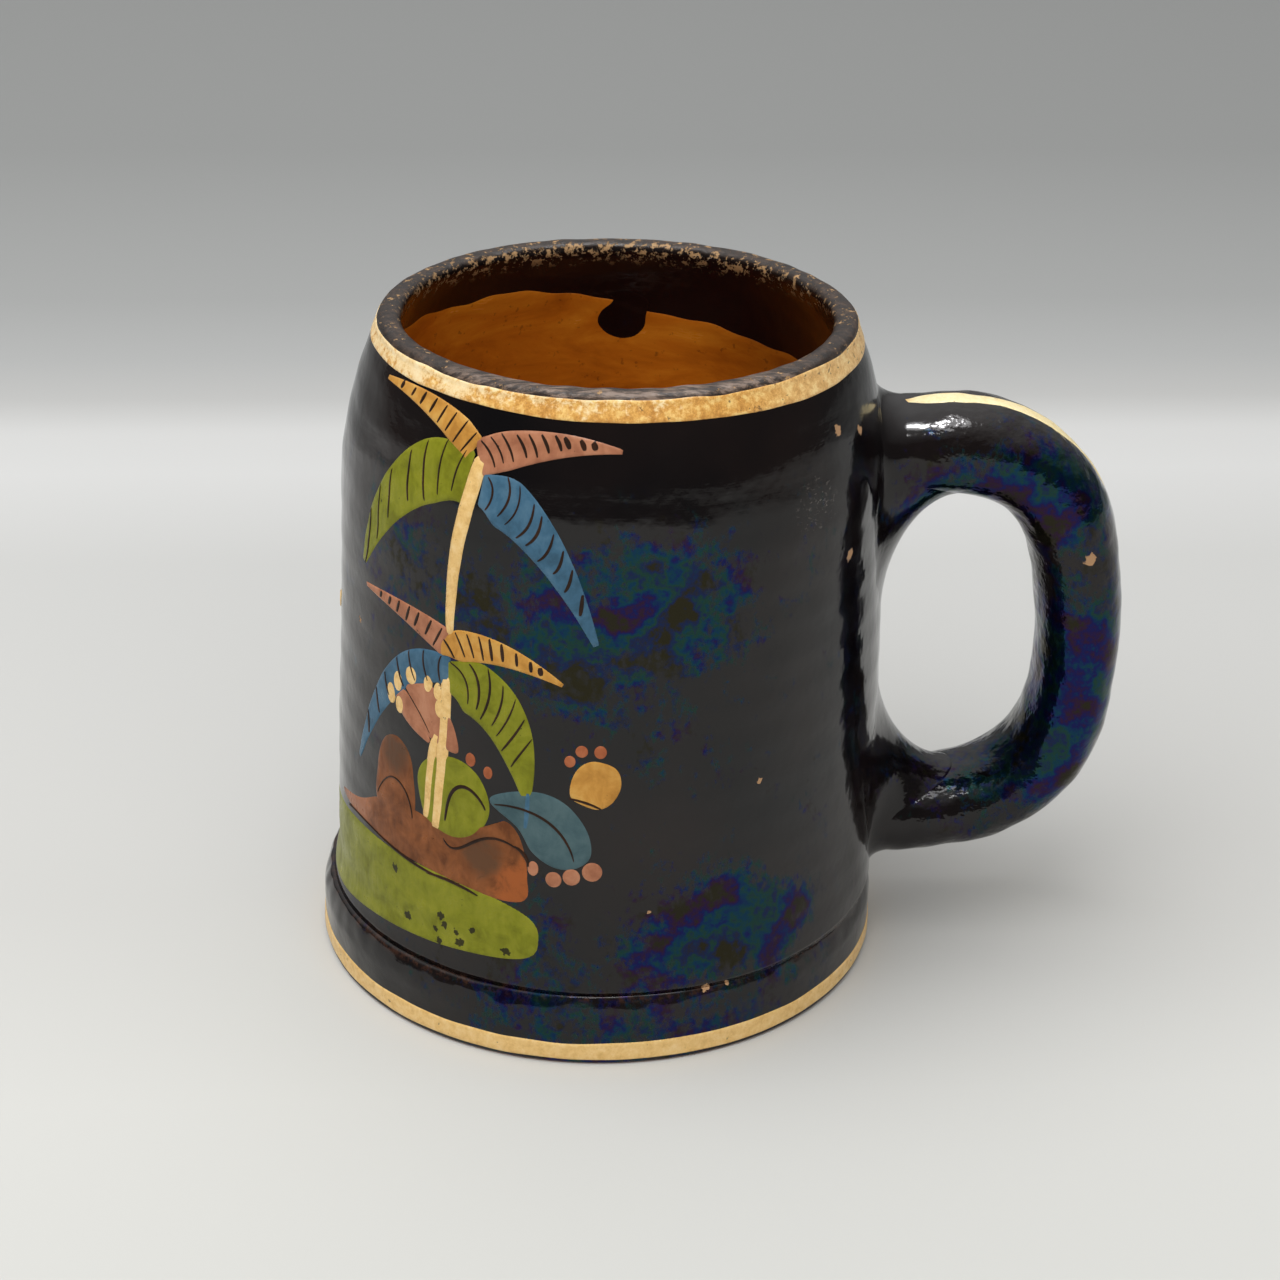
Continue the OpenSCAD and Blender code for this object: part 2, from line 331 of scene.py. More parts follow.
def worn_lip_and_sheen(place, grain):
    """The lip's top, where it is worn to bare clay, and the colour of its crust, as two masks and a colour.

    The wear is a fine noise, raised at the lip's two edges on the far side, where some trails down inside.
    The crust is grainy, and lighter in streaks on the near side: painted sheen of light on the lip, with some
    rubbing."""
    y, z = place.parts()[1:]
    radius = place.stretched(1, 1, 0).gap((lip_centre_x * MM, 0, 0))
    edge = abs(radius - lip_middle_r * MM).span(0.0007, 0.0018).most(0.6)
    top = z.span((mug_h - 2.2) * MM, (mug_h - 0.8) * MM)
    far = y.span(-0.030, 0.036)
    trailing = z.span(0.1052, 0.1090) * far
    wear = far * edge * 0.09 + place.noise(700, 5, 0.75)
    worn = wear.span(0.605, 0.645) * top.most(trailing)
    crust = grain.ramp(
        (0.38, (0.010, 0.006, 0.004)), (0.5, (0.026, 0.015, 0.010)), (0.62, (0.070, 0.042, 0.027)))
    # Painted sheen: lighter streaks along the lip's near side stand in for light glancing off the glaze
    # there, with some rubbing.
    streaks = place.stretched(0.22, 1, 1).noise(950, 4, 0.7)
    rubbed_and_sheen = streaks.ramp(
        (0.42, (0.024, 0.015, 0.011)), (0.5, (0.095, 0.062, 0.043)), (0.58, (0.230, 0.160, 0.120)))
    return top, worn, y.span(-0.020, -0.033).mix(crust, rubbed_and_sheen)


def handle_knobs(place):
    """Height of the handle's knobbly glaze: a fine and a coarse noise, calmer at its outer side."""
    x = place.parts()[0]
    knobs = place.noise(420, 3) * 0.00030 + place.noise(165, 3) * 0.0006
    calm = x.span(0.086, 0.072) * 0.75 + 0.25
    return knobs * calm * x.span(0.046, 0.054)


lip_centre_x = 0.9
lip_middle_r = 36.1
chip_and_glint_colour = (0.42, 0.24, 0.12)
worn_colour = (0.42, 0.25, 0.11)
scuff_colour = (0.20, 0.18, 0.16)
seam_colour = (0.130, 0.052, 0.028)
bare_clay = (0.36, 0.13, 0.06)
pale_clay = (0.50, 0.22, 0.11)
scuff_place = (0.0295, -0.0310, 0.0905)
# Chips in the glaze, each (centre, reach) in millimetres. The last and smallest is a painted glint, drawn in
# the chip colour.
chips_and_glint_spots = [
    ((33.3, -25.3, 100.2), 0.9), ((37.4, -20.0, 98.0), 0.9), ((36.1, -25.6, 79.5), 1.0),
    ((22.0, -38.9, 47.2), 0.4), ((14.1, -43.1, 11.9), 0.7), ((17.7, -41.8, 11.9), 0.5),
    ((77.7, -9.6, 70.9), 1.1), ((4.7, -44.9, 27.2), 0.25)]
glaze_chips, lustre, glaze_skin = chip_group(), lustre_group(), relief_group()


def black_glaze_material():
    """Thick black-brown glaze with lustre, chips, a lip worn to speckled clay and a bare underside.

    One chip spot is a painted glint, and the lip's near side has a painted sheen.
    """
    material, shader, place = new_material("black_glaze")
    z = place.parts()[2]
    colour = place.noise(40, 3).ramp((0.35, (0.0025, 0.0020, 0.0024)), (0.7, (0.0095, 0.0055, 0.0048)))
    bloom_colour, bloom = place.group(lustre)
    colour = bloom.mix(colour, bloom_colour)
    grain = place.noise(520, 6, 0.75)
    # The lip's crust colour carries a painted sheen on its near side.
    top, worn, crust = worn_lip_and_sheen(place, grain)
    crusted = top * 0.9
    colour = crusted.mix(colour, crust)
    scratch = place.stretched(1, 1, 1.6).noise(900, 4, 0.75)
    scuffed = place.gap(scuff_place).span(0.0065, 0.001) * scratch.span(0.56, 0.66)
    colour = (scuffed * 0.6).mix(colour, scuff_colour)
    colour = worn.mix(colour, worn_colour)
    in_seam = abs(z - (foot_h - 0.1) * MM).span(0.0012, 0.0003) * grain.span(0.47, 0.60)
    colour = (in_seam * 0.22).mix(colour, seam_colour)
    pitted = place.group(glaze_chips, Scale=150.0, Share=0.06)[0]
    # The chips, with one painted glint among them.
    chips = pitted.most(spots(place, chips_and_glint_spots))
    colour = chips.mix(colour, chip_and_glint_colour)
    under = z.span(0.35 * MM, 0.1 * MM)
    colour = under.mix(colour, place.noise(500, 5, 0.7).ramp((0.3, bare_clay), (0.7, pale_clay)))
    dull = worn.most(chips).most(under)
    (bloom - dull).most(0.0).feed(shader.inputs["Metallic"])
    smear = place.noise(120, 4, 0.6).ramp((0.35, 0.07), (0.75, 0.18))
    rough = crusted.mix(smear, grain.ramp((0.4, 0.34), (0.6, 0.60)))
    skin = place.group(glaze_skin)[0]
    height = dull * -0.00012 + skin + handle_knobs(place) + grain * top * 0.00030
    dress(shader, colour, dull.mix(rough, 0.65), height, 1.0, 0.8)
    shader.inputs["IOR"].default_value = 1.43
    return material


def foot_profile():
    """Outline of the slab as (radius, height, share of its shift): round edge, side, slope and seam."""
    a = np.linspace(0, np.pi / 2, 9)
    edge = np.stack([foot_r - foot_edge * (1 - np.sin(a)), foot_edge * (1 - np.cos(a)), 1 + 0 * a])
    side_z = np.linspace(foot_edge, slope_z, 12)[1:-1]
    side = np.stack([foot_r + 0 * side_z, side_z, 1 + 0 * side_z])
    v = np.linspace(0, 1, 16)
    slope_r = foot_r - (foot_r - wall_foot_r - seam_ledge) * v ** slope_power
    slope = np.stack([slope_r, slope_z + (foot_h - 0.3 - slope_z) * v, 1 - 0.1 * v])
    seam = np.array([
        [wall_foot_r + 0.3, foot_h - 0.1, 0.85],
        [wall_foot_r - 0.1, foot_h, 0.6],
        [wall_foot_r - 3.0, foot_h, 0]]).T
    return np.concatenate([edge, side, slope, seam], axis=1)


def foot_swelling(points):
    """How far the slab's side swells: two sizes of lumps, running out towards the underside."""
    lumps = 0.16 * unevenness(points, 34, 1) + 0.05 * unevenness(points, 8, 2)
    return lumps * ease((points[..., 2] - 0.2) / 1.5)


def pushed_out(points, push):
    """Points moved level and outwards, each along its angle."""
    return points + joined(push * np.cos(angles), push * np.sin(angles), 0)


black_glaze = black_glaze_material()
profile_r, profile_z, profile_shift = foot_profile()[:, :, None]
foot_x = profile_r * np.cos(angles) - foot_shift * profile_shift
foot_points = joined(foot_x, profile_r * np.sin(angles), profile_z)
pooled = 0.09 * unevenness(foot_points, 4.5, 10) * ease((profile_z - slope_z) / 2)
foot_points = pushed_out(foot_points, foot_swelling(foot_points) + pooled)
add_piece(
    "foot_slab", foot_points, capped_faces(len(profile_r), turn_columns), black_glaze, "black_glaze",
    "foot_disc")

# Wall
# The side of the cup: one turned cylinder of red clay whose shoulder is drawn in to a thick, worn lip.
# It stands on the foot, leans a little towards the handle, and its rim dips at the back.
wall_taper = 2.4
wall_t = 5.5
shoulder_h = 28
shoulder_in = 5.9
lip_t = 4.0
lip_rise = 1.7
lip_power = 0.8
cove_h = 8
cove_in = 5
lean = 0.9
rim_dip = 1.0
flare_h = 6.5
flare_out = 1.1
turning_step = 6.5
shoulder_z = mug_h - shoulder_h
lip_z = mug_h - lip_rise


def wall_radius(z):
    """Outer radius at a height: a straight taper, less a parabola over the shoulder."""
    taper = wall_taper * (z - foot_h) / (mug_h - foot_h)
    return wall_foot_r - taper - shoulder_in * np.maximum(0, (z - shoulder_z) / shoulder_h) ** 2


def inner_radius(z):
    """Inner radius at a height: the wall thins to the lip and thickens in a cove over the floor."""
    thinner = (wall_t - lip_t) * ease((lip_z - z) / (lip_z - shoulder_z))
    return wall_radius(z) - lip_t - thinner - cove_in * np.maximum(0, 1 - (z - foot_h) / cove_h) ** 2


def placed(angle, z, radius):
    """Point at an angle, height and radius of the leaning wall: dents, a dipping rim and a flared foot."""
    upright = joined(wall_foot_r * np.cos(angle), wall_foot_r * np.sin(angle), z)
    dent = 0.16 * unevenness(upright, 42, 3) + 0.05 * unevenness(upright, 13, 4)
    turning = 0.035 * np.sin(2 * np.pi * z / turning_step + 2 * unevenness(upright, 60, 5))
    flare = flare_out * np.maximum(0, -np.cos(angle)) * np.clip(1 - (z - foot_h) / flare_h, 0, 1) ** 2
    r = radius + dent + turning + flare
    x = r * np.cos(angle) + lean * z / mug_h
    fall = rim_dip * ease((z - shoulder_z) / shoulder_h) * (1 + np.sin(angle)) / 2
    return joined(x, r * np.sin(angle), z - fall)


def on_wall(angle, z, lift):
    """Point on the wall's outer face, lifted off it."""
    return placed(angle, z, wall_radius(z) + lift)


def in_wall(angle, z, lift):
    """Point on the wall's inner face, lifted off it towards the axis."""
    return placed(angle, z, inner_radius(z) - lift)


def lip_section(a):
    """Radius and height at an angle over the lip: a flattened half ellipse from outer to inner side."""
    across = lip_t / 2 * signed_power(np.cos(a), lip_power)
    return wall_radius(lip_z) - lip_t / 2 + across, lip_z + lip_rise * np.sin(a) ** lip_power


def wall_profile():
    """Outline of the wall as (radius, height): up the outside, over the lip and down the inside."""
    outer = np.linspace(foot_h + 0.1, lip_z, 120)
    over = np.linspace(0, np.pi, 26)[1:-1]
    inner = np.concatenate([
        np.linspace(lip_z, foot_h + cove_h, 76), np.linspace(foot_h + cove_h, foot_h + 0.1, 13)[1:]])
    lip_r, lip_height = lip_section(over)
    radius = np.concatenate([wall_radius(outer), lip_r, inner_radius(inner)])
    return radius[:, None], np.concatenate([outer, lip_height, inner])[:, None]


profile_r, profile_z = wall_profile()
wall_points = placed(angles, profile_z, profile_r)
wall_points[..., 2] += 0.10 * ease((profile_z - lip_z) / lip_rise) * unevenness(wall_points, 5, 6)
add_piece(
    "turned_wall", wall_points, grid_faces(len(profile_r), turn_columns, True), black_glaze, "black_glaze",
    "wall")

# Handle
# A strap of clay pulled by hand to a rounded section, bent into an ear and luted to the wall at both ends.
# It is thickest at its upper root and carries the same black glaze.
handle_low, handle_high = (np.array(corner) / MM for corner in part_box("handle"))
handle_w = handle_high[1] - handle_low[1]
upper_arm_t = 15.4
side_t = 13.5
lower_arm_t = 14.2
upper_root_z = mug_h - 24.75
lower_root_z = foot_h + 9.2
belly_z = (upper_root_z + lower_root_z) / 2 - 3
belly_x = handle_high[0] - side_t / 2
root_x = 40.4
upper_rise = np.tan(np.radians(12))
lower_rise = np.tan(np.radians(3.5))
upper_arm_x = 0.79 * (belly_x - root_x)
lower_arm_x = 0.75 * (belly_x - root_x)
upper_side_h = 0.76 * (upper_root_z - belly_z)
lower_side_h = 0.81 * (belly_z - lower_root_z)
section_power = 0.9
path_rows = 300
section_columns = 128
root_sink = 0.02
upper_curve = np.array([
    [root_x, upper_root_z],
    [root_x + upper_arm_x, upper_root_z + upper_arm_x * upper_rise],
    [belly_x, belly_z + upper_side_h],
    [belly_x, belly_z]])
lower_curve = np.array([
    [belly_x, belly_z],
    [belly_x, belly_z - lower_side_h],
    [root_x + lower_arm_x, lower_root_z - lower_arm_x * lower_rise],
    [root_x, lower_root_z]])


def cubic(p, u):
    """Point and direction of a cubic curve at u, for any array of u."""
    v = u[..., None]
    w = 1 - v
    point = w ** 3 * p[0] + 3 * w ** 2 * v * p[1] + 3 * w * v * v * p[2] + v ** 3 * p[3]
    slope = w ** 2 * (p[1] - p[0]) + 2 * w * v * (p[2] - p[1]) + v * v * (p[3] - p[2])
    return point, slope


def handle_point(t, a, grow=0.0):
    """Point of the handle at t along it, from 0 over 1 at the belly to 2, and at angle a round it.

    The section is a squared ellipse across the path, a quarter turn being its outer face.
    It is pushed out by grow and by three sizes of lumps."""
    first, first_slope = cubic(upper_curve, np.clip(t, 0, 1))
    second, second_slope = cubic(lower_curve, np.clip(t - 1, 0, 1))
    upper = (t < 1)[..., None]
    centre = np.where(upper, first, second)
    slope = unit(np.where(upper, first_slope, second_slope))
    upper_t = upper_arm_t + (side_t - upper_arm_t) * ease(2 * t - 1)
    lower_t = side_t + (lower_arm_t - side_t) * ease(t - 1)
    half_t = np.where(t < 1, upper_t, lower_t) / 2
    up = half_t * signed_power(np.sin(a), section_power)
    across = handle_w / 2 * signed_power(np.cos(a), section_power)

    def beside_path(up, across):
        """Point at a distance outwards from the path and a distance across it."""
        return joined(centre[..., 0] - slope[..., 1] * up, across, centre[..., 1] + slope[..., 0] * up)

    base = beside_path(up, across)
    lumps = 0.22 * unevenness(base, 24, 7) + 0.11 * unevenness(base, 8, 8) + 0.05 * unevenness(base, 4.5, 9)
    push = lumps + grow
    return beside_path(up + push * np.sin(a), across + push * np.cos(a))


def outside_wall(point):
    """How far a point lies outside the wall's outer face, measured level."""
    z = point[..., 2]
    return np.hypot(point[..., 0] - lean * z / mug_h, point[..., 1]) - wall_radius(z)


def wall_crossing(a, inner, outer):
    """Where on its path the handle's line at angle a comes out of the wall, by halving between two places."""
    inner, outer = inner + 0 * a, outer + 0 * a
    for _ in range(40):
        middle = (inner + outer) / 2
        out = outside_wall(handle_point(middle, a)) > 0
        inner, outer = np.where(out, inner, middle), np.where(out, middle, outer)
    return (inner + outer) / 2


section = np.linspace(0, 2 * np.pi, section_columns, endpoint=False)
upper_start = wall_crossing(section, 0.0, 0.6)
lower_end = wall_crossing(section, 2.0, 1.4)
along = np.linspace(0, 1, path_rows)
along = (along - 0.5 / (2 * np.pi) * np.sin(2 * np.pi * along))[:, None]
handle_t = (upper_start - root_sink) * (1 - along) + (lower_end + root_sink) * along
handle_points = handle_point(handle_t, np.broadcast_to(section, handle_t.shape))
add_piece(
    "pulled_handle", handle_points, capped_faces(path_rows, section_columns), black_glaze, "black_glaze",
    "handle")

# Luting joints
# Soft clay pressed into the corner between the wall and each end of the handle, smoothed with a wet thumb.
# The upper one flares widest under the arm, where the fingers go; the lower one is nearly flush underneath.
# Run and flare are the reach along the handle and along the wall: finger side, outer side, flanks.
skin_rows = 22
edge_sink = 0.06
back_sink = 0.6
corner_sink = 0.8
roundness = 0.66
upper_step, upper_run, upper_flare = 0.0105, (21, 5.6, 5), (20, 4.4, 3.2)
lower_step, lower_run, lower_flare = -0.0125, (19, 3.0, 4.0), (22, 1.8, 2.6)


def by_side(a, inner, outer, side):
    """An amount that is inner on the finger side, outer on the outer side and side between them."""
    s = np.sin(a)
    return side + np.where(s < 0, inner - side, outer - side) * s * s


def luting_joint(crossing, step, root_z, run, flare):
    """Collar whose section is a conic from the handle round the corner to the wall, closed behind."""
    corner = handle_point(crossing, section)
    t = crossing + step * by_side(section, *run)
    on_handle = handle_point(t, section, -edge_sink)
    angle = np.arctan2(corner[..., 1], corner[..., 0])
    spread = by_side(section, *flare)
    away = unit(joined(angle * wall_foot_r, corner[..., 2] - root_z))
    end_angle = angle + away[..., 0] * spread / wall_foot_r
    end_z = corner[..., 2] + away[..., 1] * spread
    on_side = on_wall(end_angle, end_z, -edge_sink)
    v = np.linspace(0, 1, skin_rows)[:, None, None]
    pull = 2 * v * (1 - v) * roundness
    skin = ((1 - v) ** 2 * on_handle + pull * corner + v * v * on_side) / ((1 - v) ** 2 + pull + v * v)
    in_corner = on_wall(angle, corner[..., 2], -corner_sink) + handle_point(crossing, section, -corner_sink)
    back = np.stack([
        on_wall(end_angle, end_z, -back_sink), in_corner / 2, handle_point(t, section, -back_sink)])
    return np.concatenate([skin, back])


joint_faces = grid_faces(skin_rows + 3, section_columns, True)
upper_joint = luting_joint(upper_start, upper_step, upper_root_z, upper_run, upper_flare)
lower_joint = luting_joint(lower_end, lower_step, lower_root_z, lower_run, lower_flare)
add_piece("upper_luting", upper_joint[::-1], joint_faces, black_glaze, "black_glaze", "handle_upper_joint")
add_piece("lower_luting", lower_joint, joint_faces, black_glaze, "black_glaze", "handle_lower_joint")

# Lining
# Clear amber glaze over the red clay inside, poured in and swilled round, so that its upper edge is uneven.
# The black outer glaze runs down over it in one drip at the back.
glaze_t = 0.2
glaze_depth = 0.35
feather_h = 1.2
lining_top = 98.9
lining_tilt = 4.6
tilt_angle = np.radians(172)
drip_angle = np.radians(85.5)
drip_z = 96.6
drip_t = 0.08
floor_z = foot_h + 0.6
back_depth = -0.3
sheet_sink = 0.05
freckle_colour = (0.10, 0.03, 0.005)
burnt_colour = (0.06, 0.014, 0.002)
pit_colour = (0.40, 0.20, 0.09)


def lining_edge(angle):
    """Height of the lining's upper edge: high on one side, low on the other, with a soft step and ripples."""
    ripple = 0.3 * np.sin(7 * angle + 1) + 0.25 * np.sin(13 * angle) + 0.15 * np.sin(29 * angle + 2)
    return lining_top + lining_tilt * np.tanh(1.9 * np.cos(angle - tilt_angle)) + ripple


def spread_out(line):
    """Copies of a closed line shrunk towards its middle, as a grid whose first row is a point-like loop."""
    u, z = line.T
    if (u * np.roll(z, -1) - z * np.roll(u, -1)).sum() < 0:
        line = line[::-1]
    share = np.linspace(0.01, 1, 16)[:, None, None] ** 0.7
    return line.mean(0) + share * (line - line.mean(0))


def blob(*outline):
    """Grid of places inside a smooth closed line, from its middle outwards: a cubic between two points."""
    p = np.array(outline, float)
    before, after, beyond = np.roll(p, 1, 0), np.roll(p, -1, 0), np.roll(p, -2, 0)
    v = np.linspace(0, 1, 10, endpoint=False)[:, None, None]
    line = p + v / 2 * (after - before) + v ** 2 / 2 * (2 * before - 5 * p + 4 * after - beyond)
    line = line + v ** 3 / 2 * (3 * p - before - 3 * after + beyond)
    return spread_out(line.swapaxes(0, 1).reshape(-1, 2))


def sunk_edge(lift, share):
    """Height of a thin sheet: its lift, falling to a hair below the wall as share goes to 1."""
    return lift - (lift + sheet_sink) * share


def blob_mesh(places, lift, lay):
    """Closed sheet over a grid that runs out from a middle, laid on a wall, edge sunk, with a hidden back."""
    rows, columns = places.shape[:2]
    height = sunk_edge(lift, np.linspace(0, 1, rows)[:, None] ** 14)
    ring = np.concatenate([lay(places, back_depth), lay(places, height)[::-1]])
    return ring.reshape(-1, 3), capped_faces(2 * rows, columns)


def lining_points(lift, edge_lift):
    """Rows down the wall from the edge, round the cove and over the floor, lifted off the clay."""
    top = lining_edge(angles)
    down = np.concatenate([np.linspace(0, 0.05, 8), np.linspace(0.05, 1, 60)[1:]])[:, None]
    wall_rows_z = top + (foot_h + cove_h - top) * down
    feather = edge_lift + (lift - edge_lift) * ease((top - wall_rows_z) / feather_h)
    wall_rows = in_wall(angles, wall_rows_z, feather)
    cove_z = np.linspace(foot_h + cove_h, floor_z, 14)[1:, None]
    cove = in_wall(angles, cove_z, lift)
    inward = np.linspace(1, 0.05, 24)[1:, None, None]
    floor = cove[-1] * np.array([1, 1, 0]) * inward + np.array([0, 0, floor_z])
    return np.concatenate([wall_rows, cove, floor])


def amber_material():
    """Glossy amber over red clay, cloudy, freckled, and burnt darker towards its upper edge."""
    material, shader, place = new_material("amber_glaze")
    x, _, z = place.parts()
    clouds = place.stretched(1, 1, 3).noise(55, 6, 0.65, 0.5)
    colour = clouds.ramp(
        (0.32, (0.32, 0.078, 0.005)), (0.52, (0.50, 0.140, 0.008)), (0.70, (0.62, 0.210, 0.014)))
    freckle = place.noise(700, 3, 0.6).span(0.62, 0.70) * 0.5
    colour = freckle.mix(colour, freckle_colour)
    burnt = x.span(0.010, 0.034) * 0.75 * z.span(0.070, 0.100)
    colour = burnt.mix(colour, burnt_colour)
    pitted = place.group(glaze_chips, Scale=130.0, Share=0.05)[0]
    colour = pitted.mix(colour, pit_colour)
    skin = place.group(glaze_skin)[0]
    dress(shader, colour, clouds.ramp((0.3, 0.12), (0.7, 0.28)), skin, 1.0, 0.6)
    return material


lining_skin = lining_points(glaze_t, -0.06)
lining_back = lining_points(-glaze_depth, -glaze_depth)
lining_back[..., 2] = np.where(lining_back[..., 2] <= floor_z, floor_z - 0.4, lining_back[..., 2])
lining = np.concatenate([lining_back[::-1], lining_skin])
amber_glaze = amber_material()
lining_faces = capped_faces(len(lining), turn_columns)
add_piece("amber_lining", lining, lining_faces, amber_glaze, "amber_glaze", "inner_glaze")


def inside(places, lift):
    """Points in the cup at (sideways, height) places about the drip, lifted off the lining."""
    angle = drip_angle - places[..., 0] / inner_radius(drip_z)
    z = drip_z + places[..., 1]
    return in_wall(angle, z, lift + glaze_t * ease((lining_edge(angle) - z) / feather_h))


drip = blob(
    (-1.8, 4.6), (-1.6, 2.8), (-3.6, 0.8), (-4.2, -1.5), (-2.6, -3.8), (0, -4.8), (2.4, -4.2), (4, -2.2),
    (4.3, 0.5), (4.6, 3.2), (1.5, 5))
add_piece("glaze_drip", *blob_mesh(drip, drip_t, inside), black_glaze, "black_glaze")

# Cream lines
# Lines of cream slip brushed on before glazing: round the rim, round the foot and along the handle's back.
# They are thin, with wavering edges. The rim's line is stained ochre, most at its front and its lower edge.
line_t = 0.14
line_rows = 14
rim_line_z = 108.3
slip_stops = (0.34, 0.5, 0.66)
plain_tones = ((0.66, 0.39, 0.12), (0.80, 0.52, 0.19), (0.86, 0.61, 0.28))
pale_tones = ((0.74, 0.48, 0.18), (0.90, 0.67, 0.35), (0.94, 0.77, 0.48))
yellow_tones = ((0.84, 0.64, 0.30), (0.93, 0.78, 0.43), (0.96, 0.84, 0.54))
stain_stops = (0.38, 0.5, 0.6)
stain_tones = ((0.46, 0.18, 0.018), (0.70, 0.335, 0.052), (0.88, 0.59, 0.19))
crumb_colour = (0.10, 0.05, 0.02)


def waver(angle, amount, seed):
    """Unsteadiness of a brushed edge: waves of 5 to 40 a turn, weaker as they get shorter."""
    waves = np.random.default_rng(seed)
    counts = np.arange(5, 41)[:, None]
    phases = waves.uniform(0, 2 * np.pi, (36, 1))
    return amount * (np.sin(counts * angle + phases) * 3 / counts).sum(0)


def cream_material():
    """Cream slip under a thin glaze: mottled, stained ochre on the rim, yellower on the handle, with crumbs.

    The stain is a sum of a slope along X, a slope down the rim, a cloudy noise and a grain."""
    material, shader, place = new_material("cream_slip")
    x, _, z = place.parts()
    mottle = place.noise(620, 6, 0.8)
    plain, pale, yellow = (
        mottle.ramp(*zip(slip_stops, tones)) for tones in (plain_tones, pale_tones, yellow_tones))
    ochre = mottle.ramp(*zip(stain_stops, stain_tones))
    stain = x * 9.0 + place.noise(130, 3, 0.6) - (z - rim_line_z * MM) * 70.0
    stain = place.noise(1100, 4, 0.7) * 1.4 + stain
    paler = x.span(0.015, 0.035) * -0.45 + 1.0
    on_rim = z.span(0.100, 0.104)
    colour = (stain.span(0.90, 1.12) * 0.9 * paler).mix(pale, ochre)
    colour = on_rim.mix(plain, colour)
    colour = x.span(0.0475, 0.0485).mix(colour, yellow)
    crumbs = x * on_rim * 1.6 + place.noise(750, 3, 0.7)
    colour = (crumbs.span(0.66, 0.71) * 0.75).mix(colour, crumb_colour)
    dress(shader, colour, mottle.ramp((0.3, 0.50), (0.7, 0.32)), mottle, 0.00012, 0.7)
    return material


cream_slip = cream_material()
share = np.linspace(0, 1, line_rows)
thickness = sunk_edge(line_t, np.abs(2 * share - 1) ** 8)
band_faces = grid_faces(2 * line_rows, turn_columns, True)


def rim_outline(reach):
    """Radius and height along the rim's outline: heights below the lip, then the lip's own curve above it."""
    a = np.clip(reach, 0, None) / lip_rise
    lip_r, lip_height = lip_section(np.clip(a, 0, np.pi / 2))
    below = lip_z + np.minimum(reach, 0)
    return np.where(reach < 0, wall_radius(below), lip_r), np.where(reach < 0, below, lip_height)


def rim_line(lift):
    """Band from its wavering lower edge to its ragged upper edge on the lip."""
    low = -2.4 - 0.5 * np.cos(angles) + waver(angles, 0.05, 11)
    high = 0.75 + waver(angles, 0.10, 12)
    radius, z = rim_outline(low + (high - low) * share[:, None])
    return placed(angles, z, radius + lift)


def foot_line(lift):
    """Band round the foot above a thin dark edge, on the foot's own side."""
    low = 0.75 + waver(angles, 0.04, 13)
    high = 4.0 + waver(angles, 0.05, 14)
    z = low + (high - low) * share[:, None]
    side = joined(foot_r * np.cos(angles) - foot_shift, foot_r * np.sin(angles), z)
    return pushed_out(side, foot_swelling(side) + lift)


rim_points, foot_line_points = (
    np.concatenate([band(thickness[:, None]), band(back_depth)[::-1]]) for band in (rim_line, foot_line))
add_piece("rim_line", rim_points, band_faces, cream_slip, "painted_slip", "rim_slip_line")
add_piece("foot_line", foot_line_points, band_faces, cream_slip, "painted_slip", "foot_slip_line")


def handle_line(lift, t, side):
    """Strip along the handle's outer face, over the edge of the upper joint: t along it, side across it."""
    c = signed_power(side / (handle_w / 2), 1 / section_power)
    from_wall = np.clip((t - top_start) / upper_step, 0, upper_run[1])
    over_joint = upper_flare[1] * (1 - np.sqrt(from_wall / upper_run[1])) ** 2
    return handle_point(t, np.arccos(c), lift + over_joint)


stripe_rows = 160
top_start = upper_start[section_columns // 4]
stripe_start = top_start + 3.4 * upper_step
stripe_end = 1.74
stripe_half_w = 2.0
stripe_shift = 3.2
down = (1 - np.cos(np.linspace(0, np.pi, stripe_rows))) / 2
end_round = np.sqrt(ease(down / 0.05 + 0.04) * ease((1 - down) / 0.012 + 0.04))
unsteady = 0.12 * np.sin(40 * down) + 0.08 * np.sin(95 * down + 1)
unsteady = unsteady + 0.06 * np.sin(260 * down + 2 * np.sin(31 * down))
stripe_side = (2 * share - 1)[:, None] * (stripe_half_w + unsteady) * end_round
stripe_side = stripe_side + stripe_shift * ease((down - 0.12) / 0.3)
stripe_t = np.broadcast_to(stripe_start + (stripe_end - stripe_start) * down, stripe_side.shape)
stripe_lift = sunk_edge(thickness[:, None], 1 - np.minimum(1, end_round * 1.2 - 0.2))
stripe_face = handle_line(stripe_lift, stripe_t, stripe_side)
stripe_back = handle_line(back_depth, stripe_t, stripe_side)
stripe_points = np.concatenate([stripe_back, stripe_face[::-1]]).swapaxes(0, 1)
add_piece(
    "handle_line", stripe_points, capped_faces(stripe_rows, 2 * line_rows), cream_slip, "painted_slip",
    "handle_slip_line")

# Painted ornament
# A palm on a mound, with rocks, a bush, a pod and flowers, brushed in coloured slips left of the handle.
# Every shape is a thin sheet of paint on the wall, with its edge sunk in; the brush lines lie on top.
# Places are (u, z): u millimetres round the wall from its front, z the height.
round_r = 45
sheet_rows = 44
sheet_columns = 13
line_steps = 24
fleck_colour = (0.012, 0.008, 0.006)


def leftwards(slope):
    """Unit vectors a quarter turn to the left of directions in (u, z)."""
    ahead = unit(slope)
    return joined(-ahead[..., 1], ahead[..., 0])


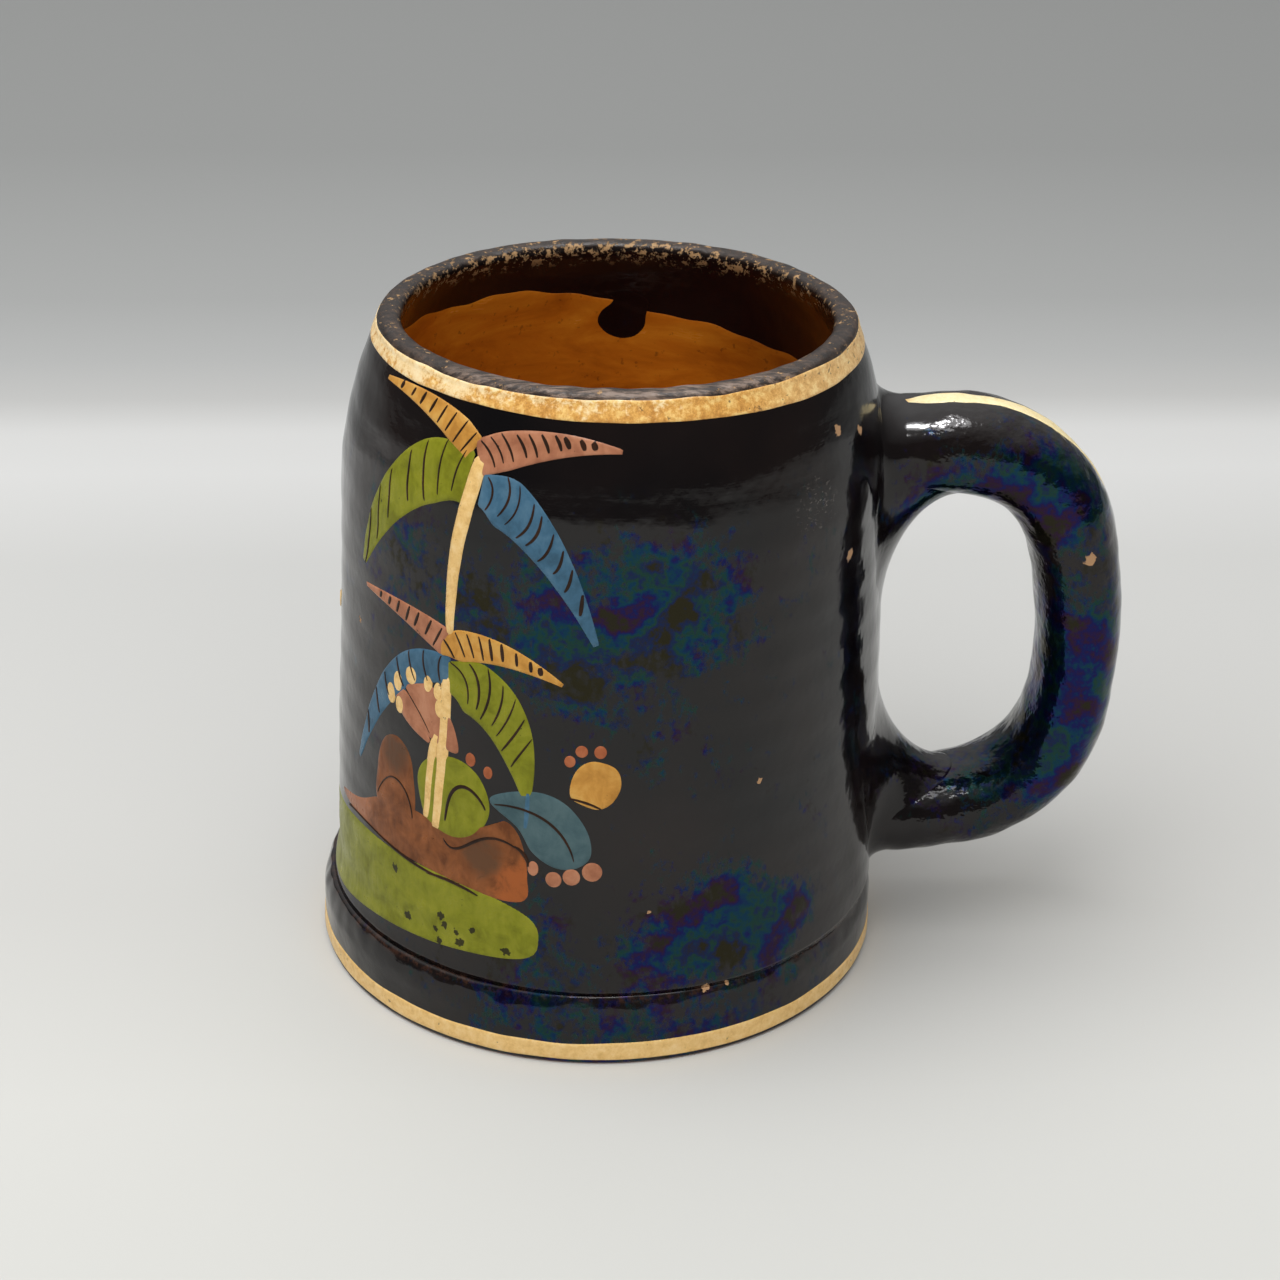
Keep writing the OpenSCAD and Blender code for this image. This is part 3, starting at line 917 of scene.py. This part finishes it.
class Leaf:
    """A brush-drawn leaf: a quadratic midrib from root over bend to tip, with a width along it."""

    tip_share = 0.10

    def __init__(self, root, bend, tip, width, root_share, widest, taper):
        self.points = np.array([root, bend, tip], float)
        self.width, self.root_share, self.widest, self.taper = width, root_share, widest, taper
        self.upper_side = 1 if tip[0] > root[0] else -1

    def half(self, s):
        """Half the width: it grows from the root to the widest place and runs out to the tip."""
        grown = self.root_share + (1 - self.root_share) * ease(s / self.widest)
        return self.width / 2 * grown * (1 - (1 - self.tip_share) * np.clip(s, 0, 1) ** self.taper)

    def place(self, s, w):
        """Point at s along the leaf and w across it, -1 to 1."""
        r, b, t = self.points
        v = s[..., None]
        rib = (1 - v) ** 2 * r + 2 * v * (1 - v) * b + v * v * t
        side = leftwards((1 - v) * (b - r) + v * (t - b))
        return rib + side * (w * self.half(s))[..., None]

    def sheet(self):
        """Grid of places over the whole leaf."""
        s = np.linspace(0, 1, sheet_rows)[:, None]
        w = np.linspace(-1, 1, sheet_columns)[None, :]
        return self.place(*(np.array(grid) for grid in np.broadcast_arrays(s, w)))


def stroke(line, width, blunt=0.5):
    """Ribbon of places along a line, thick in its middle; blunt 0 keeps its width to the ends.

    The width is one value, or one for each place along the line."""
    side = leftwards(np.gradient(line, axis=0))
    s = np.linspace(0.001, 0.999, len(line))
    half = width / 2 * (4 * s * (1 - s)) ** blunt
    w = np.linspace(-1, 1, 5)[None, :, None]
    return line[:, None] + side[:, None] * half[:, None, None] * w


def curve(*points):
    """Smooth line through two to five points: a polynomial in the share of length along them."""
    points = np.array(points, float)
    steps = np.linalg.norm(np.diff(points, axis=0), axis=1)
    places = np.concatenate([[0], np.cumsum(steps)]) / steps.sum()
    powers = np.arange(len(points))
    factors = np.linalg.solve(places[:, None] ** powers, points)
    return np.linspace(0, 1, line_steps)[:, None] ** powers @ factors


def hatch(leaf, count, first, last, slant, bulge, width, swell, seed):
    """Strokes across a leaf from its upper edge downwards, each a little different.

    The slant goes from its first to its second value along the leaf.
    Swell thickens and shortens the last strokes."""
    vary = np.random.default_rng(seed)
    v = np.linspace(0, 1, 14)
    strokes = []
    for q in np.linspace(0, 1, count):
        s = first + (last - first) * q + vary.normal() * 0.008
        s = s + (slant[0] + (slant[1] - slant[0]) * q) * v + bulge * (1 - 0.8 * q) * 4 * v * (1 - v)
        top = vary.uniform(0.86, 0.99) - 0.12 * swell * q * q
        bottom = vary.uniform(-0.95, -0.6) + 0.3 * swell * q * q
        line = leaf.place(np.clip(s, 0, 0.995), leaf.upper_side * (top + (bottom - top) * v))
        strokes.append(stroke(line, width * vary.uniform(0.8, 1.25) * (1 + swell * q * q)))
    return strokes


def ovals(*sizes):
    """Grids of places inside ellipses, from the middle outwards, each (u, z, half width, half height)."""
    a = np.linspace(0, 2 * np.pi, 40, endpoint=False)
    return [
        spread_out(joined(u + half_u * np.cos(a), z + half_z * np.sin(a)))
        for u, z, half_u, half_z in sizes]


def lay(places, lift):
    """Points on the wall at (u, z) places, lifted off it."""
    return on_wall(places[..., 0] / round_r - np.pi / 2, places[..., 1], lift)


def strip_mesh(places, lift):
    """Closed sheet of paint over a grid of places, its four edges sunk, with a hidden back."""
    rows, columns = places.shape[:2]
    up = places[1:, :-1] - places[:-1, :-1]
    along = places[:-1, 1:] - places[:-1, :-1]
    if (along[..., 0] * up[..., 1] - along[..., 1] * up[..., 0]).sum() < 0:
        places = places[:, ::-1]
    across = np.abs(np.linspace(-1, 1, columns)) ** 10
    ends = np.abs(np.linspace(-1, 1, rows)) ** 40
    height = sunk_edge(lift, np.maximum(across[None, :], ends[:, None]))
    ring = np.concatenate([lay(places, height), lay(places, back_depth)[:, ::-1]], axis=1)
    beside = np.arange(columns - 1)
    back = 2 * columns - 1 - beside
    first_cap = np.stack([beside, back, back - 1, beside + 1], -1)
    last_cap = np.stack([beside, beside + 1, back - 1, back], -1) + (rows - 1) * 2 * columns
    return ring.reshape(-1, 3), grid_faces(rows, 2 * columns) + first_cap.tolist() + last_cap.tolist()


def add_painting(name, material, strips, blobs, lift):
    """All the shapes of one paint as one piece."""
    sheets = [strip_mesh(places, lift) for places in strips]
    sheets += [blob_mesh(places, lift, lay) for places in blobs]
    points, faces, start = [], [], 0
    for sheet_points, sheet_faces in sheets:
        points.append(sheet_points)
        faces.extend([[start + corner for corner in face] for face in sheet_faces])
        start += len(sheet_points)
    add_piece(name, np.concatenate(points), faces, material, "painted_slip")


def paint_material(name, deep, middle, light, wear, tints=(), flakes=()):
    """Coloured slip under a thin glaze: cloudy brushwork between three tones, with worn dark specks.

    Each tint is ((u, z), reach, colour), a soft patch of another tone that ran into the wet slip.
    Each flake is ((u, z), reach), a ragged spot where the slip has come off."""
    material, shader, place = new_material(name)
    cloud = place.noise(260, 5, 0.65, 0.4)
    brush = place.stretched(1, 1, 0.3).noise(900)
    colour = (brush * 0.25 + cloud).ramp((0.45, deep), (0.62, middle), (0.80, light))
    for centre, reach, tint in tints:
        near = place.gap(lay(np.array(centre), 0) * MM).span(reach * MM, 0.2 * reach * MM)
        colour = (cloud * 2.0 + near).span(1.25, 2.0).mix(colour, tint)
    specks = place.noise(620, 4, 0.7).span(wear, wear + 0.03)
    if flakes:
        specks = specks.most(spots(place, [(lay(np.array(centre), 0), reach) for centre, reach in flakes]))
    colour = (specks * 0.9).mix(colour, fleck_colour)
    dress(shader, colour, cloud.ramp((0.3, 0.42), (0.7, 0.24)), brush, 0.00010, 0.6)
    shader.inputs["IOR"].default_value = 1.24
    return material


upper_green = Leaf((-26.6, 96.8), (-40, 99.8), (-50.6, 75.8), 10.8, 0.8, 0.35, 2.7)
upper_blue = Leaf((-24.4, 95.6), (-13, 94.5), (-4.5, 72.8), 9.6, 0.55, 0.25, 1.5)
upper_ochre = Leaf((-26.3, 101.0), (-35, 107), (-51.5, 106), 6.0, 0.8, 0.2, 1.0)
upper_salmon = Leaf((-25.6, 99.9), (-14, 105), (-1, 103), 6.8, 0.85, 0.25, 1.3)
lower_salmon = Leaf((-29.4, 69.6), (-38, 73.3), (-49.8, 72.7), 5.6, 0.95, 0.3, 1.1)
lower_ochre = Leaf((-31, 68.2), (-22, 73.2), (-9.5, 66.1), 6.0, 0.4, 0.25, 1.8)
lower_blue = Leaf((-28.6, 65), (-41.5, 66.5), (-52.3, 40.6), 6.4, 0.85, 0.35, 2.4)
lower_green = Leaf((-29.4, 64), (-17, 64.8), (-15, 45.5), 10.4, 0.55, 0.25, 2.6)
pale_petal = Leaf((-39.6, 58), (-36.6, 55), (-32.6, 51.6), 5.0, 0.6, 0.4, 2.5)
bud = blob(
    (-38.2, 60), (-35, 61.2), (-32, 61.3), (-29.3, 58.3), (-27.4, 54.5), (-27.3, 51.2), (-33, 52.6),
    (-36.6, 56.6))
pod = blob(
    (-21.4, 44.8), (-18.5, 47), (-13, 47.9), (-8.6, 46.2), (-5.3, 41.8), (-4.6, 37.3), (-7, 34.9),
    (-10.5, 34.8), (-14, 37), (-16.5, 41))
mound = blob(
    (-72, 26), (-56, 28.8), (-40, 29.2), (-23, 28.4), (-14, 25.6), (-12, 21.5), (-14.5, 17.5), (-28, 16),
    (-45, 14.8), (-60, 13.2), (-72, 13.2), (-76, 19))
rocks = blob(
    (-62, 30.3), (-52, 33.6), (-45, 37), (-36, 38.5), (-25.5, 37), (-21, 39.5), (-18.2, 42), (-15.5, 39.4),
    (-14.2, 32.5), (-16, 27.5), (-32, 28.6), (-50, 29.6))
tall_rock = blob(
    (-45.8, 36), (-45.6, 43.6), (-43.8, 48.3), (-40.3, 50.1), (-37.3, 48.4), (-36, 44), (-36, 36), (-41, 33))
bush = blob(
    (-35.4, 44.5), (-33.4, 48.6), (-28.2, 50.6), (-24, 49.3), (-21.4, 45.5), (-21.3, 41.5), (-24, 37.4),
    (-28.6, 35.9), (-33.5, 38))
round_flower = blob(
    (-4.3, 53.9), (-1.1, 52.7), (-0.2, 49.8), (-1.4, 46.9), (-3.6, 45.5), (-6.3, 46.2), (-8.2, 47.6),
    (-8, 50.6), (-6.6, 53))
buds = ovals(
    (-8.3, 53.6, 0.9, 1.0), (-6.5, 55.4, 1.0, 1.0), (-3.6, 55.4, 1.0, 1.1), (-24.7, 51, 0.9, 1.2),
    (-21.6, 49.5, 0.8, 1.1))
berries = ovals(
    (-10.5, 32.8, 1.3, 1.4), (-7.7, 33.5, 1.4, 1.5), (-4.5, 34.6, 1.6, 1.7), (-13.8, 34.3, 0.9, 1.3))
tips = ovals(
    (-41.7, 57, 1.1, 1.9), (-39.9, 59.7, 1.1, 1.8), (-36.8, 61.8, 1.3, 1.6), (-33.1, 61.6, 0.9, 1.5),
    (-30.5, 58.2, 1.1, 1.8), (-39.5, 55.8, 1.0, 1.6), (-31.1, 60.9, 0.8, 1.5), (-70, 61, 1.1, 1.5))
trunk_line = curve((-24.6, 100.8), (-26.4, 92.8), (-28.3, 81.5), (-28.8, 70.5))
trunk = stroke(trunk_line, np.linspace(3.5, 1.9, len(trunk_line)), 0.12)
stem = stroke(curve((-29.4, 64.4), (-29.7, 57), (-30.4, 46.5), (-31.4, 36.2)), 2.7, 0.12)
side_stem = stroke(curve((-31, 54), (-32.2, 49.3), (-32.8, 44), (-33.4, 37.8)), 2.0, 0.15)
pod_bar = stroke(curve((-14.8, 47.6), (-14.9, 44.5), (-15.2, 41)), 1.3, 0.3)

green = paint_material(
    "green_paint", (0.145, 0.148, 0.008), (0.198, 0.206, 0.012), (0.245, 0.245, 0.020), 0.68,
    flakes=[
        ((-37.3, 18.4), 0.8), ((-30, 21.3), 0.8), ((-29.3, 19.8), 0.7), ((-31.2, 18.6), 0.5),
        ((-27, 19.4), 0.6), ((-24, 20.7), 0.6), ((-26.3, 17.6), 0.9), ((-30.3, 16.6), 0.7),
        ((-18.2, 18.3), 0.8), ((-40.4, 26), 0.7)])
blue = paint_material(
    "blue_paint", (0.036, 0.090, 0.140), (0.050, 0.126, 0.200), (0.080, 0.165, 0.240), 0.70)
teal = paint_material(
    "teal_paint", (0.046, 0.088, 0.100), (0.062, 0.110, 0.122), (0.082, 0.135, 0.145), 0.71)
salmon = paint_material(
    "salmon_paint", (0.30, 0.115, 0.060), (0.40, 0.165, 0.088), (0.48, 0.220, 0.125), 0.69)
ochre = paint_material(
    "ochre_paint", (0.42, 0.19, 0.034), (0.54, 0.262, 0.052), (0.62, 0.350, 0.088), 0.68)
rust = paint_material(
    "rust_paint", (0.125, 0.040, 0.013), (0.200, 0.066, 0.020), (0.270, 0.092, 0.030), 0.70,
    [((-16, 30.5), 8.0, (0.34, 0.095, 0.024)), ((-22.5, 34.8), 6.5, (0.115, 0.052, 0.024)),
     ((-40.5, 46.5), 6.0, (0.100, 0.046, 0.022)), ((-53, 32), 9.0, (0.33, 0.125, 0.055))])
terracotta = paint_material(
    "terracotta_paint", (0.27, 0.075, 0.030), (0.36, 0.105, 0.042), (0.44, 0.150, 0.065), 0.70)
brown = paint_material(
    "brown_line", (0.016, 0.008, 0.005), (0.026, 0.012, 0.007), (0.045, 0.018, 0.009), 0.80)

hatched = [
    (upper_green, 7, 0.05, 0.78, (0.06, 0.22), 0.01, 0.55, 0.0),
    (upper_blue, 9, 0.04, 0.78, (0.05, 0.08), 0.05, 0.55, 0.7),
    (upper_ochre, 8, 0.06, 0.80, (0.03, 0.02), 0.0, 0.7, 0.7),
    (upper_salmon, 10, 0.03, 0.80, (0.08, 0.03), 0.02, 0.65, 1.9),
    (lower_salmon, 7, 0.08, 0.76, (0.03, 0.02), 0.0, 0.75, 0.8),
    (lower_ochre, 9, 0.10, 0.84, (0.06, 0.03), 0.0, 0.6, 1.0),
    (lower_blue, 7, 0.05, 0.78, (0.02, 0.08), 0.02, 0.6, 0.4),
    (lower_green, 7, 0.03, 0.68, (0.22, 0.14), 0.02, 0.55, 0.0)]
outlines = [
    (0.7, (-20.8, 44.3), (-16.3, 44.6), (-11.3, 42.7), (-8.5, 39.5), (-7.3, 35.8)),
    (0.9, (-29.4, 38.8), (-28.6, 43), (-25.8, 46), (-23.2, 44.9), (-21.8, 42.6)),
    (0.7, (-30, 36), (-27.9, 34.4), (-24, 36.7), (-19.5, 38.4), (-16.2, 37.2)),
    (0.8, (-17, 37.8), (-15.6, 36.8), (-14.5, 34.4)),
    (0.7, (-58, 29.3), (-47, 30), (-36, 28.6), (-26, 28.4)),
    (0.7, (-33.5, 28), (-28, 28.2), (-22.8, 27.2)),
    (0.4, (-45.4, 37.4), (-43.3, 40.9), (-40.4, 42.3), (-37.8, 40.8), (-36.4, 36.4)),
    (0.3, (-38.2, 59.4), (-35.6, 57), (-32.4, 53)),
    (0.7, (-8.4, 47.3), (-5.9, 46.8), (-3.2, 45.6))]
lines = [line for seed, strokes in enumerate(hatched, 21) for line in hatch(*strokes, seed)]
lines += [stroke(curve(*points), width) for width, *points in outlines]

green_leaves = [upper_green.sheet(), lower_green.sheet()]
blue_leaves = [upper_blue.sheet(), lower_blue.sheet()]
salmon_leaves = [upper_salmon.sheet(), lower_salmon.sheet(), pale_petal.sheet()]
ochre_leaves = [upper_ochre.sheet(), lower_ochre.sheet()]
add_painting("painted_rust", rust, [], [rocks, tall_rock], 0.08)
add_painting("painted_green", green, green_leaves, [mound, bush], 0.11)
add_painting("painted_teal", teal, [], [pod], 0.11)
add_painting("painted_blue", blue, blue_leaves + [pod_bar], [], 0.13)
add_painting("painted_terracotta", terracotta, [], buds, 0.14)
add_painting("painted_salmon", salmon, salmon_leaves, [bud] + berries, 0.15)
add_painting("painted_ochre", ochre, ochre_leaves, [round_flower], 0.14)
add_painting("painted_cream", cream_slip, [trunk, stem, side_stem], tips, 0.17)
add_painting("brush_lines", brown, lines, [], 0.20)

# Floor, light and camera
# A pale floor under a bright ceiling and two large soft lamps, its colour painted with light:
# darker behind the mug, a lit band further back and a lift in front of the foot.
# Three smaller lamps only glint in the glaze. The camera stands where the photograph was taken.
lamp_aim = (0, 0, 0.05)
floor_half = 4.0
floor_near = 0.2
# Painted light: these tones by depth darken the floor behind the mug where the light falls off, brighten a
# band further back, and lift it just in front of the foot against the mug's shadow.
floor_light_tones = [
    (0.100, (0.570, 0.570, 0.544)),
    (0.145, (0.592, 0.590, 0.564)),
    (0.205, (0.545, 0.541, 0.520)),
    (0.345, (0.550, 0.550, 0.535)),
    (0.395, (0.620, 0.620, 0.610)),
    (0.420, (0.600, 0.600, 0.590)),
    (0.442, (0.470, 0.470, 0.460)),
    (0.470, (0.405, 0.410, 0.405)),
    (0.515, (0.345, 0.350, 0.345)),
    (0.655, (0.285, 0.290, 0.285)),
    (0.805, (0.290, 0.295, 0.290))]
floor_corners = [(-1, -1), (1, -1), (1, 1), (-1, 1)]
floor_mesh = bpy.data.meshes.new("floor")
floor_mesh.from_pydata([(x * floor_half, y * floor_half, 0) for x, y in floor_corners], [], [(0, 1, 2, 3)])
floor = bpy.data.objects.new("floor", floor_mesh)
bpy.context.scene.collection.objects.link(floor)
floor_painted_light, shader, place = new_material("floor_painted_light")
(place.parts()[1] + floor_near).ramp(*floor_light_tones).feed(shader.inputs["Base Color"])
shader.inputs["Roughness"].default_value = 0.6
shader.inputs["Specular IOR Level"].default_value = 0.2
floor_mesh.materials.append(floor_painted_light)

world = bpy.data.worlds.new("studio")
world.use_nodes = True
world_nodes = world.node_tree.nodes
look = Field(world_nodes.new("ShaderNodeTexCoord").outputs["Generated"])
upward = look.through("ShaderNodeVectorMath", {0: look, 1: (0, 0.35, 1)}, "Value", operation="DOT_PRODUCT")
ceiling = upward.ramp((0.25, 0.10), (0.45, 0.30), (0.75, 0.58), (1.0, 1.05))
ceiling.feed(world_nodes["Background"].inputs["Color"])
bpy.context.scene.world = world


def add_lamp(name, place, size, watts):
    """A round soft lamp turned towards the mug's lower half; returns it."""
    data = bpy.data.lights.new(name, "AREA")
    data.shape = "DISK"
    data.size = size
    data.energy = watts
    lamp = bpy.data.objects.new(name, data)
    bpy.context.scene.collection.objects.link(lamp)
    back = unit(np.subtract(place, lamp_aim))
    side = unit(np.cross((0, 1, 0), back))
    turn = joined(side, np.cross(back, side), back)
    lamp.matrix_world = Matrix.Translation(place) @ Matrix(turn.tolist()).to_4x4()
    return lamp


add_lamp("key_lamp", (-0.42, -0.28, 1.15), 1.4, 14.0).visible_glossy = False
add_lamp("fill_lamp", (0.32, -1.0, 0.50), 1.0, 4.0).visible_glossy = False
add_lamp("top_sheen", (0.10, 0.02, 0.95), 0.45, 2.5).visible_diffuse = False
add_lamp("top_glint", (0.05, 0.05, 0.95), 0.16, 4.0).visible_diffuse = False
add_lamp("front_glint", (-0.08, -0.50, 1.0), 0.14, 0.7).visible_diffuse = False

photo_px = 1280
focal_px = 2840
aim_right_px = 32.8
aim_down_px = 13.5
sensor_w = 36
camera_distance = 471.3
camera_height = 55
camera_rise = np.radians(26.19)
camera_turn = np.radians(-3)
camera_roll = np.radians(1.08)


def sideways(ahead):
    """Level unit vector to the right of a direction."""
    return unit(np.cross(ahead, (0, 0, 1)))


spin = np.array([
    [np.cos(camera_turn), -np.sin(camera_turn), 0], [np.sin(camera_turn), np.cos(camera_turn), 0], [0, 0, 1]])
stand = camera_distance * (spin @ np.array([0, -np.cos(camera_rise), np.sin(camera_rise)]))
ahead = unit(-stand)
right = sideways(ahead)
ahead = unit(ahead + right * (aim_right_px / focal_px) - np.cross(right, ahead) * (aim_down_px / focal_px))
right = sideways(ahead)
above = np.cross(right, ahead)
rolled_right = np.cos(camera_roll) * right + np.sin(camera_roll) * above
rolled_above = np.cos(camera_roll) * above - np.sin(camera_roll) * right
camera = bpy.data.objects.new("camera", bpy.data.cameras.new("camera"))
camera.data.lens = focal_px / photo_px * sensor_w
camera.data.sensor_width = sensor_w
camera.data.clip_start = 0.01
camera_place = (stand + [0, 0, camera_height]) * MM
camera_axes = joined(rolled_right, rolled_above, -ahead)
camera.matrix_world = Matrix.Translation(camera_place) @ Matrix(camera_axes.tolist()).to_4x4()
bpy.context.scene.collection.objects.link(camera)
bpy.context.scene.camera = camera
bpy.context.scene.view_settings.view_transform = "Standard"
